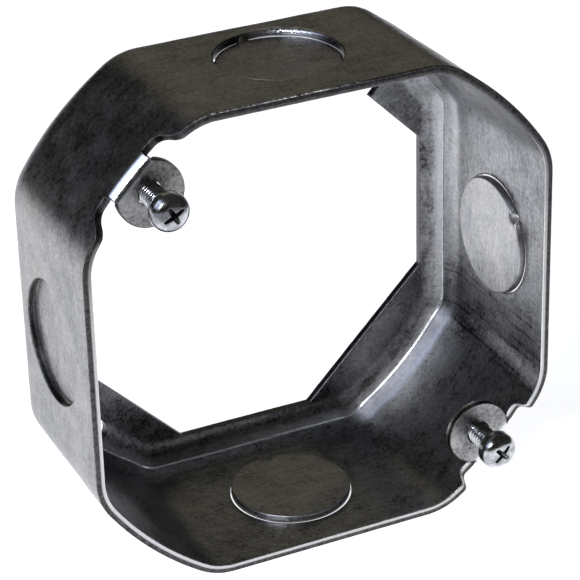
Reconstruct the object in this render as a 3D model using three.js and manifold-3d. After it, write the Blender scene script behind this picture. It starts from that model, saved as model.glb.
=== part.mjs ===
// Octagon extension ring for a 4 in junction box, millimetres, +Z up.
// The ring stands on its bottom wall. Its axis runs along Y, its open front faces -Y, and the turned-in
// flange at its back goes against the box. Every piece is built about the ring's axis, with the front
// rim in the plane y = 0, and the last lines move the whole part onto its origin.
import * as THREE from "three";
import { mergeVertices } from "three/addons/utils/BufferGeometryUtils.js";
import Module from "manifold-3d";

const wasm = await Module();
wasm.setup();

// Sheet and outline of the drawn ring
const SHEET = 1.6;
const DEPTH = 38.1; // 1 1/2 in, front rim to the back of the flange
const WALL_REACH = 44.75; // ring axis to the outside of a flat wall
const CORNER_REACH = 49.9; // ring axis to the outside of a bowed corner wall, at its middle
const BOW_RADIUS = 61; // outside radius of a corner wall's bow
const CORNER_DRAFT = 0.8; // how far a corner wall leans in from rim to back, except the upper left
const FILLET_RADIUS = 12; // outside radius where a flat wall turns into a corner wall
const BEND_RADIUS = 7.5; // outside radius of the drawn bend at the back

// Octagonal opening in the back flange
const OPENING_REACH = 37.7; // ring axis to the opening's edge at a flat wall
const OPENING_CORNER_REACH = 36.1; // and at a corner wall

// Screw places: two on the front ears, and a slot and a hole in the back flange on the other diagonal
const SCREW_REACH = 44.45; // half of 3 1/2 in
const SLOT_HALF_WIDTH = 2.4;

// Ears bent inward from two opposite corner walls
const EAR_RADIUS = 6.1;
const EAR_TIP_HALF_WIDTH = 1.4; // the flat left at the ear's tip
const EAR_NECK_HALF_WIDTH = 4.7;
const EAR_SETBACK = 2; // front rim to the ear's front face
const EAR_BEND_RADIUS = 2; // outside
const EAR_HOLE_RADIUS = 2.25;
const EAR_WALL_INSET = 0.1; // keeps the straight bend inside the bowed wall
const EAR_ROOT = 1; // how far the ear runs down the wall past its bend

// The front rim is cut back beside each ear, and each ear sits a little off its diagonal
const EARS = {
  upper_left: { drift: -0.5, notchDepth: 4.5, floorHalfWidth: 6.9, mouthHalfWidth: 11.8 },
  lower_right: { drift: 0, notchDepth: 3.2, floorHalfWidth: 7.7, mouthHalfWidth: 10.3 },
};

// Half-inch trade knockouts
const KNOCKOUT_RADIUS = 11.3; // the hole; the slug is smaller by the gap
const KNOCKOUT_DEPTH = 17.6; // front rim to the knockout's centre
const KNOCKOUT_STEP = 1.25; // how far each slug is pushed in
const GAP = 0.3;

// 8-32 screws
const SHANK_RADIUS = 1.9;
const SHANK_LENGTH = 11.1; // 7/16 in
const SHANK_CHAMFER = 0.6;
const HEAD_RADIUS = 3.45;
const HEAD_SIDE = 2.2;
const HEAD_HEIGHT = 3.4;
const HEAD_LIFTS = { upper_left: 4.3, lower_right: 3.5 }; // rim to the underside of the head
const RECESS_WIDTH = 1;
const SLOT_CUT_DEPTH = 1.3;
const CROSS_CUT_DEPTH = 2;
const CROSS_CUT_LENGTH = 3.9;
const RECESS_TWISTS = { upper_left: 17, lower_right: -2 }; // degrees, from a slot square to the ear

const CURVE_SEGMENTS = 3;
const ROUND_SEGMENTS = 48;
const BEND_SEGMENTS = 5;
const OVERRUN = 12; // how far a cutter runs past what it cuts

const galvanised = new THREE.MeshStandardMaterial({ color: 0x84868a, roughness: 0.45, metalness: 0.9 });
const slugSteel = new THREE.MeshStandardMaterial({ color: 0x95969a, roughness: 0.5, metalness: 0.9 });
const zincPlate = new THREE.MeshStandardMaterial({ color: 0xc9cccd, roughness: 0.25, metalness: 1 });

// Directions round the ring: a turn about Y that takes +X to where the feature sits
const WALL_TURNS = { right: 0, bottom: Math.PI / 2, left: Math.PI, top: -Math.PI / 2 };
const CORNER_TURNS = {
  lower_right: Math.PI / 4,
  lower_left: (3 * Math.PI) / 4,
  upper_left: (5 * Math.PI) / 4,
  upper_right: -Math.PI / 4,
};

// ---- helpers -------------------------------------------------------------------------------------

function toSolid(geometry) {
  const plain = geometry.clone();
  plain.deleteAttribute("normal");
  plain.deleteAttribute("uv");
  const merged = mergeVertices(plain, 1e-4);
  return new wasm.Manifold(
    new wasm.Mesh({
      numProp: 3,
      vertProperties: Float32Array.from(merged.attributes.position.array),
      triVerts: Uint32Array.from(merged.index.array),
    }),
  );
}

function toMesh(name, solid, material) {
  const { vertProperties, triVerts } = solid.getMesh();
  const geometry = new THREE.BufferGeometry();
  geometry.setAttribute("position", new THREE.BufferAttribute(Float32Array.from(vertProperties), 3));
  geometry.setIndex(new THREE.BufferAttribute(Uint32Array.from(triVerts), 1));
  geometry.computeVertexNormals();
  const mesh = new THREE.Mesh(geometry, material);
  mesh.name = name;
  return mesh;
}

// An outline in X and Z, extruded along Y between two depths. A bevel radius rounds both ends.
function alongY(shape, front, back, bevel = 0) {
  const geometry = new THREE.ExtrudeGeometry(shape, {
    depth: back - front - 2 * bevel,
    curveSegments: CURVE_SEGMENTS,
    bevelEnabled: bevel > 0,
    bevelThickness: bevel,
    bevelSize: bevel,
    bevelOffset: -bevel,
    bevelSegments: BEND_SEGMENTS,
  });
  return geometry.rotateX(Math.PI / 2).translate(0, back - bevel, 0);
}

// An outline in Z and Y, extruded along X between two distances from the axis
function alongX(shape, near, far) {
  const geometry = new THREE.ExtrudeGeometry(shape, {
    depth: far - near,
    curveSegments: 2 * CURVE_SEGMENTS,
    bevelEnabled: false,
  });
  return geometry.rotateY(Math.PI / 2).translate(near, 0, 0);
}

// A side view in X and Y, extruded along Z over a half width
function acrossZ(shape, halfWidth) {
  const geometry = new THREE.ExtrudeGeometry(shape, {
    depth: 2 * halfWidth,
    curveSegments: CURVE_SEGMENTS,
    bevelEnabled: false,
  });
  return geometry.translate(0, 0, -halfWidth);
}

function box(width, depth, height, x, y, z) {
  return new THREE.BoxGeometry(width, depth, height).translate(x, y, z);
}

// ---- outlines ------------------------------------------------------------------------------------

// Flat walls and bowed corner walls joined by fillets, moved inward by an inset
function ringOutline(inset) {
  const wall = WALL_REACH - inset;
  const fillet = FILLET_RADIUS - inset;
  const bow = BOW_RADIUS - inset;
  const bowCentre = (CORNER_REACH - BOW_RADIUS) * Math.SQRT1_2;
  const filletX = wall - fillet;
  const filletY = bowCentre + Math.sqrt((bow - fillet) ** 2 - (filletX - bowCentre) ** 2);
  const filletTurn = Math.atan2(filletY - bowCentre, filletX - bowCentre);
  const shape = new THREE.Shape();
  for (let quarter = 0; quarter < 4; quarter++) {
    const turn = (quarter * Math.PI) / 2;
    const arc = (x, y, radius, start, end) => {
      const centre = new THREE.Vector2(x, y).rotateAround(new THREE.Vector2(), turn);
      shape.absarc(centre.x, centre.y, radius, start + turn, end + turn);
    };
    arc(filletX, filletY, fillet, 0, filletTurn);
    arc(bowCentre, bowCentre, bow, filletTurn, Math.PI / 2 - filletTurn);
    arc(filletY, filletX, fillet, Math.PI / 2 - filletTurn, Math.PI / 2);
  }
  shape.closePath();
  return shape;
}

// Leans three corner walls in towards the back. The flat walls and the upper left stay square to the rim.
function leanCorners(geometry) {
  const flatEnd = THREE.MathUtils.degToRad(25);
  const cornerStart = THREE.MathUtils.degToRad(33);
  const position = geometry.attributes.position;
  for (let i = 0; i < position.count; i++) {
    const x = position.getX(i);
    const z = position.getZ(i);
    if (x < 0 && z > 0) continue;
    const offDiagonal = Math.abs(Math.atan2(Math.abs(z), Math.abs(x)) - Math.PI / 4);
    const share = THREE.MathUtils.smoothstep(Math.PI / 4 - offDiagonal, flatEnd, cornerStart);
    const lean = (CORNER_DRAFT * share * Math.max(position.getY(i), 0)) / DEPTH;
    position.setX(i, x - Math.sign(x) * lean * Math.SQRT1_2);
    position.setZ(i, z - Math.sign(z) * lean * Math.SQRT1_2);
  }
  return geometry;
}

function openingOutline() {
  const half = OPENING_CORNER_REACH * Math.SQRT2 - OPENING_REACH;
  const corners = [];
  for (let quarter = 0; quarter < 4; quarter++) {
    for (const side of [-half, half]) {
      const corner = new THREE.Vector2(OPENING_REACH, side);
      corners.push(corner.rotateAround(new THREE.Vector2(), (quarter * Math.PI) / 2));
    }
  }
  return new THREE.Shape(corners);
}

// A slot along X, open at the flange's edge and round at the screw's place
function slotOutline() {
  const shape = new THREE.Shape();
  shape.moveTo(OPENING_CORNER_REACH - OVERRUN, SLOT_HALF_WIDTH);
  shape.lineTo(OPENING_CORNER_REACH - OVERRUN, -SLOT_HALF_WIDTH);
  shape.absarc(SCREW_REACH, 0, SLOT_HALF_WIDTH, -Math.PI / 2, Math.PI / 2);
  shape.closePath();
  return shape;
}

// The cut in the front rim beside an ear: a level floor with a smooth rise on each side
function notchOutline(depth, floor, mouth) {
  const handle = (mouth - floor) * 0.55;
  const shape = new THREE.Shape();
  shape.moveTo(-mouth, -OVERRUN);
  shape.lineTo(mouth, -OVERRUN);
  shape.lineTo(mouth, 0);
  shape.bezierCurveTo(mouth - handle, 0, floor + handle, depth, floor, depth);
  shape.lineTo(-floor, depth);
  shape.bezierCurveTo(-floor - handle, depth, -mouth + handle, 0, -mouth, 0);
  shape.closePath();
  return shape;
}

// ---- pieces --------------------------------------------------------------------------------------

// An ear, pointing along +X: its side view gives the flat and the bend, its plan gives the rounded tip
function earSolid() {
  const wallFace = CORNER_REACH - EAR_WALL_INSET;
  const bendX = wallFace - EAR_BEND_RADIUS;
  const bendY = EAR_SETBACK + EAR_BEND_RADIUS;
  const side = new THREE.Shape();
  side.moveTo(SCREW_REACH - 2 * EAR_RADIUS, EAR_SETBACK);
  side.lineTo(bendX, EAR_SETBACK);
  side.absarc(bendX, bendY, EAR_BEND_RADIUS, -Math.PI / 2, 0);
  side.lineTo(wallFace, bendY + EAR_ROOT);
  side.lineTo(wallFace - SHEET, bendY + EAR_ROOT);
  side.absarc(bendX, bendY, EAR_BEND_RADIUS - SHEET, 0, -Math.PI / 2, true);
  side.lineTo(SCREW_REACH - 2 * EAR_RADIUS, EAR_SETBACK + SHEET);
  side.closePath();

  const neckTurn = Math.asin(EAR_NECK_HALF_WIDTH / EAR_RADIUS);
  const tipTurn = Math.PI - Math.asin(EAR_TIP_HALF_WIDTH / EAR_RADIUS);
  const plan = new THREE.Shape();
  plan.moveTo(CORNER_REACH + 1, EAR_NECK_HALF_WIDTH);
  plan.absarc(SCREW_REACH, 0, EAR_RADIUS, neckTurn, tipTurn);
  plan.absarc(SCREW_REACH, 0, EAR_RADIUS, -tipTurn, -neckTurn);
  plan.lineTo(CORNER_REACH + 1, -EAR_NECK_HALF_WIDTH);
  plan.closePath();

  const hole = new THREE.CylinderGeometry(EAR_HOLE_RADIUS, EAR_HOLE_RADIUS, OVERRUN, ROUND_SEGMENTS / 2);
  hole.translate(SCREW_REACH, 0, 0);
  return { side: acrossZ(side, 2 * EAR_RADIUS), plan: alongY(plan, -1, OVERRUN), hole };
}

function ringShell() {
  const outline = (inset, back, bend) => alongY(ringOutline(inset), -OVERRUN - BEND_RADIUS, back, bend);
  const outside = toSolid(leanCorners(outline(0, DEPTH, BEND_RADIUS)));
  const inside = toSolid(leanCorners(outline(SHEET, DEPTH - SHEET, BEND_RADIUS - SHEET)));
  const opening = toSolid(alongY(openingOutline(), 0, DEPTH + OVERRUN));
  const span = 4 * CORNER_REACH;
  const inFront = toSolid(box(span, span, span, 0, -span / 2, 0));
  let shell = outside.subtract(inside).subtract(opening).subtract(inFront);

  const knockoutHole = new THREE.CylinderGeometry(KNOCKOUT_RADIUS, KNOCKOUT_RADIUS, OVERRUN, ROUND_SEGMENTS);
  knockoutHole.rotateZ(Math.PI / 2).translate(WALL_REACH, KNOCKOUT_DEPTH, 0);
  for (const turn of Object.values(WALL_TURNS)) {
    shell = shell.subtract(toSolid(knockoutHole.clone().rotateY(turn)));
  }

  const ear = earSolid();
  for (const [corner, { drift, notchDepth, floorHalfWidth, mouthHalfWidth }] of Object.entries(EARS)) {
    const turned = (geometry) => toSolid(geometry.clone().translate(0, 0, drift).rotateY(CORNER_TURNS[corner]));
    const outline = notchOutline(notchDepth, floorHalfWidth, mouthHalfWidth);
    const notch = alongX(outline, CORNER_REACH - OVERRUN / 2, CORNER_REACH + OVERRUN / 2);
    shell = shell.subtract(turned(notch));
    shell = shell.add(turned(ear.side).intersect(turned(ear.plan)).subtract(turned(ear.hole)));
  }

  const openSlot = alongY(slotOutline(), DEPTH / 2, DEPTH + OVERRUN);
  const closedHole = new THREE.CylinderGeometry(SLOT_HALF_WIDTH, SLOT_HALF_WIDTH, DEPTH, ROUND_SEGMENTS / 2);
  closedHole.translate(SCREW_REACH, DEPTH, 0);
  shell = shell.subtract(toSolid(openSlot.rotateY(CORNER_TURNS.upper_right)));
  return shell.subtract(toSolid(closedHole.rotateY(CORNER_TURNS.lower_left)));
}

// A knockout slug in the right wall, pushed in by its step
function knockoutSlug() {
  const radius = KNOCKOUT_RADIUS - GAP;
  const disc = new THREE.CylinderGeometry(radius, radius, SHEET, ROUND_SEGMENTS);
  const centre = WALL_REACH - SHEET / 2 - KNOCKOUT_STEP;
  return toSolid(disc.rotateZ(Math.PI / 2).translate(centre, KNOCKOUT_DEPTH, 0));
}

// A screw along Y: the underside of its head at y = 0, its tip at +Y
function screw() {
  const dome = HEAD_HEIGHT - HEAD_SIDE;
  const domeRadius = (HEAD_RADIUS ** 2 + dome ** 2) / (2 * dome);
  const domeTurn = Math.asin(HEAD_RADIUS / domeRadius);
  const profile = [
    new THREE.Vector2(0, SHANK_LENGTH),
    new THREE.Vector2(SHANK_RADIUS - SHANK_CHAMFER, SHANK_LENGTH),
    new THREE.Vector2(SHANK_RADIUS, SHANK_LENGTH - SHANK_CHAMFER),
    new THREE.Vector2(SHANK_RADIUS, 0),
    new THREE.Vector2(HEAD_RADIUS, 0),
  ];
  const domeSteps = 5;
  for (let step = 0; step <= domeSteps; step++) {
    const turn = domeTurn * (1 - step / domeSteps);
    const lift = domeRadius * Math.cos(turn) - (domeRadius - dome);
    profile.push(new THREE.Vector2(domeRadius * Math.sin(turn), -HEAD_SIDE - lift));
  }
  profile.at(-1).x = 0;
  const body = new THREE.LatheGeometry(profile.reverse(), ROUND_SEGMENTS / 2);
  const slot = box(RECESS_WIDTH, 2 * SLOT_CUT_DEPTH, OVERRUN, 0, -HEAD_HEIGHT, 0);
  const cross = box(CROSS_CUT_LENGTH, 2 * CROSS_CUT_DEPTH, RECESS_WIDTH, 0, -HEAD_HEIGHT, 0);
  return toSolid(body).subtract(toSolid(slot)).subtract(toSolid(cross));
}

// ---- assembly ------------------------------------------------------------------------------------

const group = new THREE.Group();
group.add(toMesh("ring_shell", ringShell(), galvanised));

for (const [side, turn] of Object.entries(WALL_TURNS)) {
  const slug = toMesh(`knockout_${side}`, knockoutSlug(), slugSteel);
  slug.rotation.y = turn;
  group.add(slug);
}

for (const [corner, { drift }] of Object.entries(EARS)) {
  const piece = toMesh(`screw_${corner}`, screw(), zincPlate);
  const seat = new THREE.Group();
  seat.rotation.y = CORNER_TURNS[corner];
  piece.position.set(SCREW_REACH, -HEAD_LIFTS[corner], drift);
  piece.rotation.y = THREE.MathUtils.degToRad(RECESS_TWISTS[corner]);
  seat.add(piece);
  group.add(seat);
}

// Origin: the middle of the bounding box, on the surface that the bottom wall stands on
const frontReach = Math.max(...Object.values(HEAD_LIFTS)) + HEAD_HEIGHT;
group.position.set(0, (frontReach - DEPTH) / 2, WALL_REACH);

export default group;
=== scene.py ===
import math

import bmesh
import bpy
import numpy as np
from mathutils import Matrix, Vector, noise
from mathutils.geometry import delaunay_2d_cdt


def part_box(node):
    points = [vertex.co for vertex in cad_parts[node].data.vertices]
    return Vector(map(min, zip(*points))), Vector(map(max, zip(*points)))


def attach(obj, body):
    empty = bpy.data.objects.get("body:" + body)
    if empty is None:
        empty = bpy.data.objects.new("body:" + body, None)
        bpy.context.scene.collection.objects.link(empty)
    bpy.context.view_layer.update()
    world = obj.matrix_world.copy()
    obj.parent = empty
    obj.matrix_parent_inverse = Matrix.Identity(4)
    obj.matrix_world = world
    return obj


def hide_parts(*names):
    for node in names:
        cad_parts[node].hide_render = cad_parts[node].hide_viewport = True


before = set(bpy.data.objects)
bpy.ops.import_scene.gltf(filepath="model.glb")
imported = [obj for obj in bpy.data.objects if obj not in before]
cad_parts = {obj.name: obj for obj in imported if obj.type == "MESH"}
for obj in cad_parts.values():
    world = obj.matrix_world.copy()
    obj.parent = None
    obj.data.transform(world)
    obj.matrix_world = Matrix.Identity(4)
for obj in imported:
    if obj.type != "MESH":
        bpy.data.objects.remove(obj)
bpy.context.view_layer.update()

# ---------------------------------------------------------------- sizes, in mm, as in the CAD model
SHEET = 1.6
DEPTH = 38.1
WALL_REACH = 44.75
CORNER_REACH = 49.9
BOW_RADIUS = 61.0
CORNER_DRAFT = 0.8  # how far the corners lean in at the back, all but the upper left one
DRAFT_TURN, DRAFT_TURN_FADE = math.radians(25), math.radians(8)  # from a wall's middle round to its corner
DRAFT_FLANGE_FADE = 6.0  # the lean fades out this far from the opening
FILLET_RADIUS = 12.0
BEND_RADIUS = 7.5
OPENING_REACH = 37.7
OPENING_CORNER_REACH = 36.1
SCREW_REACH = 44.45
SLOT_HALF_WIDTH = 2.4
EAR_RADIUS = 6.1
EAR_TIP_HALF_WIDTH = 1.4
EAR_NECK_HALF_WIDTH = 4.7
EAR_SETBACK = 2.0
EAR_BEND_RADIUS = 2.0
EAR_HOLE_RADIUS = 2.25
EAR_WALL_INSET = 0.1
KNOCKOUT_RADIUS = 11.3
KNOCKOUT_DEPTH = 17.6
KNOCKOUT_STEP = 1.25
SLUG_GAP = 0.17
SHANK_LENGTH = 11.1
HEAD_RADIUS = 3.45
HEAD_HEIGHT = 3.4
HEAD_LIFTS = {"upper_left": 4.3, "lower_right": 3.5}

low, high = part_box("ring_shell")
AXIS = np.array([0.0, low.y * 1000, (low.z + high.z) * 500])  # ring axis, in the front rim's plane

# the corner draft brings these places back in to SCREW_REACH
BACK_SCREW_REACH = SCREW_REACH + CORNER_DRAFT * 0.97

# ---------------------------------------------------------------- outline of the drawn ring
SQRT_HALF = math.sqrt(0.5)
BOW_CENTRE = (CORNER_REACH - BOW_RADIUS) * SQRT_HALF
FILLET_FAR = WALL_REACH - FILLET_RADIUS
FLAT_HALF = BOW_CENTRE + math.sqrt((BOW_RADIUS - FILLET_RADIUS) ** 2 - (FILLET_FAR - BOW_CENTRE) ** 2)
BOW_END = math.atan2(FILLET_FAR - BOW_CENTRE, FLAT_HALF - BOW_CENTRE)  # normal angle where bow meets fillet
BOW_LENGTH = BOW_RADIUS * (BOW_END - math.pi / 4)
FILLET_LENGTH = FILLET_RADIUS * (math.pi / 2 - BOW_END)
QUARTER = 2 * (BOW_LENGTH + FILLET_LENGTH + FLAT_HALF)
PERIMETER = 4 * QUARTER
BEND_START = DEPTH - BEND_RADIUS
CREASE_DEGREES = 41.0  # how far round the back bend its inner face meets the flange's in a crease
CREASE_TURN = math.radians(CREASE_DEGREES)
CREASE_SWELL = 0.2  # how much thicker the sheet is on each side of the crease
CREASE_ROUNDING = 0.07
CREASE_ROUNDING_TURN = math.radians(9)
SEAM_TURN = math.radians(43.5)  # the wall's unrolled strip ends here, just past the crease
SEAM = BEND_START + BEND_RADIUS * SEAM_TURN
SEAM_POINTS = 308
# degrees round the bend of the rows of points on each side of the seam, closest together at the crease
WALL_ROWS = (26, 29, 31.5, 33.5, 35.2, 36.7, 38, 39, 39.8, 40.5, 41, 41.5, 42.2, 42.9)
FLANGE_ROWS = (44.5, 45.6, 46.8, 48, 49.5, 51.5, 53.5, 56, 59, 63)
# the middle of each wall on the outline, in quarters from the upper right corner
WALL_CENTRES = {"top": 0.5, "left": 1.5, "bottom": 2.5, "right": 3.5}
# quarter, drift along the outline, notch depth, half widths of the notch's floor and mouth
EARS = {
    "upper_left": (1, -0.5, 4.5, 6.9, 11.8),
    "lower_right": (3, 0.0, 3.2, 7.7, 10.3),
}
EAR_FREE_DEPTH = 1.6  # in front of this the strip is all ear, as it is above the notch's floor
EAR_SPAN = 8.0  # half the stretch of the strip that an ear can reach
NOTCH_FILLET = 0.5  # at each side of an ear's neck
EAR_FACE = CORNER_REACH - EAR_WALL_INSET
EAR_BEND_TOP = EAR_SETBACK + EAR_BEND_RADIUS
EAR_BEND_LENGTH = EAR_BEND_RADIUS * math.pi / 2
EAR_CENTRE = EAR_BEND_TOP - EAR_BEND_LENGTH - (EAR_FACE - EAR_BEND_RADIUS - SCREW_REACH)  # on the strip


def outline(s):
    """x, z and the outward normal of the ring's outline, s mm round from the upper right corner."""
    s = np.asarray(s, float) % PERIMETER
    quarter = np.floor(s / QUARTER)
    along = s - quarter * QUARTER
    side = np.where(along > QUARTER / 2, -1.0, 1.0)
    m = np.minimum(along, QUARTER - along)
    bow = m < BOW_LENGTH
    fillet = ~bow & (m < BOW_LENGTH + FILLET_LENGTH)
    angle = np.where(
        bow,
        math.pi / 4 + m / BOW_RADIUS,
        np.where(fillet, BOW_END + (m - BOW_LENGTH) / FILLET_RADIUS, math.pi / 2),
    )
    nx, nz = np.cos(angle), np.sin(angle)
    x = np.where(
        bow,
        BOW_CENTRE + BOW_RADIUS * nx,
        np.where(fillet, FLAT_HALF + FILLET_RADIUS * nx, FLAT_HALF - (m - BOW_LENGTH - FILLET_LENGTH)),
    )
    z = np.where(
        bow,
        BOW_CENTRE + BOW_RADIUS * nz,
        np.where(fillet, FILLET_FAR + FILLET_RADIUS * nz, WALL_REACH),
    )
    x, nx = x * side, nx * side
    c, d = np.cos(quarter * math.pi / 2), np.sin(quarter * math.pi / 2)
    return x * c - z * d, x * d + z * c, nx * c - nz * d, nx * d + nz * c


def smooth(t):
    """An even step from 0 to 1 as t goes from 0 to 1."""
    t = np.clip(t, 0, 1)
    return t * t * (3 - 2 * t)


def strip_surface(p):
    """The outer surface over the unrolled strip: p holds (s, t), t mm back from the front rim."""
    s, t = p[:, 0], p[:, 1]
    x, z, nx, nz = outline(s)
    turn = np.clip((t - BEND_START) / BEND_RADIUS, 0, math.pi / 2)
    inward = BEND_RADIUS * (1 - np.cos(turn))
    y = np.minimum(t, BEND_START) + BEND_RADIUS * np.sin(turn)
    point = np.stack([x - inward * nx, y, z - inward * nz], 1)
    normal = np.stack([nx * np.cos(turn), np.sin(turn), nz * np.cos(turn)], 1)
    for quarter, drift, *_ in EARS.values():
        centre = quarter * QUARTER + drift
        q = EAR_BEND_TOP - t
        near = np.clip(1 - (np.abs(s - centre) - EAR_NECK_HALF_WIDTH - 0.1), 0, 1)
        near = np.where(t < EAR_FREE_DEPTH, 1.0, near)
        on = (q > 0) & (np.abs(s - centre) < EAR_SPAN) & (near > 0)
        if not on.any():
            continue
        a = math.pi / 4 + quarter * math.pi / 2
        ux, uz = math.cos(a), math.sin(a)
        bend = np.clip(q / EAR_BEND_RADIUS, 0, math.pi / 2)
        u = EAR_FACE - EAR_BEND_RADIUS * (1 - np.cos(bend)) - np.maximum(q - EAR_BEND_LENGTH, 0)
        u = u + (x * ux + z * uz - EAR_FACE) * (1 - smooth(q / EAR_BEND_LENGTH))
        v = -x * uz + z * ux
        v = np.where(t < EAR_FREE_DEPTH, s - quarter * QUARTER, v)
        ear = np.stack([u * ux - v * uz, EAR_BEND_TOP - EAR_BEND_RADIUS * np.sin(bend), u * uz + v * ux], 1)
        ear_normal = np.stack([ux * np.cos(bend), -np.sin(bend), uz * np.cos(bend)], 1)
        share = np.where(on, smooth(near), 0.0)[:, None]
        point = point * (1 - share) + ear * share
        normal = normal * (1 - share) + ear_normal * share
        normal /= np.linalg.norm(normal, axis=1)[:, None]
    return point, normal


def back_surface(p):
    """The outer surface seen from behind: p holds (x, z) inside the seam."""
    x, z = p[:, 0], p[:, 1]
    ax, az = np.abs(x), np.abs(z)
    swap = az > ax
    a, b = np.where(swap, az, ax), np.where(swap, ax, az)
    fillet_turn = np.arctan2(b - FLAT_HALF, a - FILLET_FAR)
    fillet = (b > FLAT_HALF) & (a > FILLET_FAR) & (fillet_turn < math.pi / 2 - BOW_END)
    flat = b <= FLAT_HALF
    centre_a = np.where(fillet, FILLET_FAR, BOW_CENTRE)
    centre_b = np.where(fillet, FLAT_HALF, BOW_CENTRE)
    reach = np.hypot(a - centre_a, b - centre_b)
    inward = np.where(flat, WALL_REACH - a, np.where(fillet, FILLET_RADIUS, BOW_RADIUS) - reach)
    na = np.where(flat, 1.0, (a - centre_a) / np.maximum(reach, 1e-9))
    nb = np.where(flat, 0.0, (b - centre_b) / np.maximum(reach, 1e-9))
    nx = np.where(swap, nb, na) * np.sign(x)
    nz = np.where(swap, na, nb) * np.sign(z)
    cos = np.clip((BEND_RADIUS - inward) / BEND_RADIUS, 0, 1)
    sin = np.sqrt(1 - cos**2)
    return (
        np.stack([x, BEND_START + BEND_RADIUS * sin, z], 1),
        np.stack([nx * cos, sin, nz * cos], 1),
    )


def sheet_thickness(normal):
    """The sheet plus the swell beside the crease, by how far the outer face has turned to the back."""
    turn = np.arcsin(np.clip(normal[:, 1], 0, 1))
    u = np.where(turn < CREASE_TURN, turn / CREASE_TURN, (math.pi / 2 - turn) / (math.pi / 2 - CREASE_TURN))
    swell = CREASE_SWELL * 6.75 * u * u * (1 - u)  # u * u * (1 - u) is at most 1 / 6.75
    rounding = CREASE_ROUNDING * np.exp(-(((turn - CREASE_TURN) / CREASE_ROUNDING_TURN) ** 2))
    return (SHEET + np.hypot(swell, rounding))[:, None]


def crease_burnish_and_sheen(normal):
    """How burnished and brightened the inner face is: on the crease, burnished and with a painted highlight,
    and on a band of the flange beside it and in the hollow of the bend at the lower right corner, as painted
    sheen."""
    past = np.degrees(np.arcsin(np.clip(normal[:, 1], 0, 1))) - CREASE_DEGREES
    ridge = np.exp(-((past / 2.4) ** 2))
    on_flange = 0.3 * smooth((past + 2) / 2) * (1 - smooth((past - 7) / 16))
    in_bend = 0.55 * smooth((past + 40) / 14) * (1 - smooth((past + 6) / 3))
    level = np.maximum(np.hypot(normal[:, 0], normal[:, 2]), 1e-6)
    lower_right = smooth((np.minimum(normal[:, 0], -normal[:, 2]) / level - 0.1) / 0.35)
    return np.maximum(ridge, np.maximum(on_flange, in_bend * lower_right))


def ear_bend_burnish_highlight(p):
    """1 on the bend at each ear's root, over the unrolled strip, where it is burnished and brightened as a
    painted highlight.
    """
    share = np.zeros(len(p))
    for quarter, drift, *_ in EARS.values():
        across = smooth(EAR_NECK_HALF_WIDTH + 0.6 - np.abs(p[:, 0] - quarter * QUARTER - drift))
        q = (EAR_BEND_TOP - p[:, 1]) / EAR_BEND_LENGTH
        share = np.maximum(share, across * smooth(q * 4) * smooth((1.05 - q) * 4))
    return share


def lean_corners(co):
    """Leans the bowed corners in towards the back, except at the upper left and round the opening."""
    x, y, z = co[:, 0], co[:, 1], co[:, 2]
    turn = math.pi / 4 - np.abs(np.arctan2(np.abs(z), np.abs(x)) - math.pi / 4)
    share = smooth((turn - DRAFT_TURN) / DRAFT_TURN_FADE)
    share = share * np.where((x < 0) & (z > 0), 0.0, 1.0)
    corner_reach = (np.abs(x) + np.abs(z)) * SQRT_HALF
    share = share * smooth((corner_reach - OPENING_CORNER_REACH) / DRAFT_FLANGE_FADE)
    lean = CORNER_DRAFT * share * np.clip(y, 0, None) / DEPTH * SQRT_HALF
    return np.stack([x - np.sign(x) * lean, y, z - np.sign(z) * lean], 1)


# ---------------------------------------------------------------- plane loops
STRIP_STEP, STRIP_CLEARANCE = 1.05, 0.33
EAR_STEP, EAR_ROW_STEP, EAR_GRID_REACH = 0.6, 0.33, 6.2
PLAN_STEP, PLAN_CLEARANCE, PLAN_REACH = 0.85, 0.4, 46.0
ROW_CLEARANCE = 0.08


def line(a, b, step):
    """Points from a to b, without b."""
    n = max(1, int(math.ceil(math.dist(a, b) / step)))
    return [(a[0] + (b[0] - a[0]) * i / n, a[1] + (b[1] - a[1]) * i / n) for i in range(n)]


def arc(cx, cy, radius, start, end, step):
    """Points round an arc, with both its ends."""
    n = max(2, int(math.ceil(abs(end - start) * radius / step)))
    turns = [start + (end - start) * i / n for i in range(n + 1)]
    return [(cx + radius * math.cos(turn), cy + radius * math.sin(turn)) for turn in turns]


def circle(cx, cy, radius, step):
    """A hole's loop, run clockwise so that the sheet is on its left."""
    return np.array(arc(cx, cy, radius, 0, -2 * math.pi, step)[:-1])


def ramp(a, b, handle=0.55, n=14):
    """A Bezier curve from a to b that leaves and arrives level, without its last point."""
    level = (b[0] - a[0]) * handle
    corners = (a, (a[0] + level, a[1]), (b[0] - level, b[1]), b)
    points = []
    for t in (i / n for i in range(n)):
        weights = ((1 - t) ** 3, 3 * t * (1 - t) ** 2, 3 * t * t * (1 - t), t**3)
        points.append(tuple(sum(w * p[axis] for w, p in zip(weights, corners)) for axis in (0, 1)))
    return points


def inset(points, distance, closed):
    """Moves each point to the left of the way the loop runs, which is where the sheet is."""
    p = np.array(points, float)
    ahead = np.roll(p, -1, 0) - p
    behind = p - np.roll(p, 1, 0)
    if not closed:
        ahead[-1], behind[0] = behind[-1], ahead[0]
    ahead /= np.linalg.norm(ahead, axis=1)[:, None]
    behind /= np.linalg.norm(behind, axis=1)[:, None]
    n1 = np.stack([-behind[:, 1], behind[:, 0]], 1)
    n2 = np.stack([-ahead[:, 1], ahead[:, 0]], 1)
    mitre = n1 + n2
    mitre /= np.maximum((mitre * n1).sum(1), 0.6)[:, None]
    return p + mitre * np.asarray(distance).reshape(-1, 1)


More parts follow.
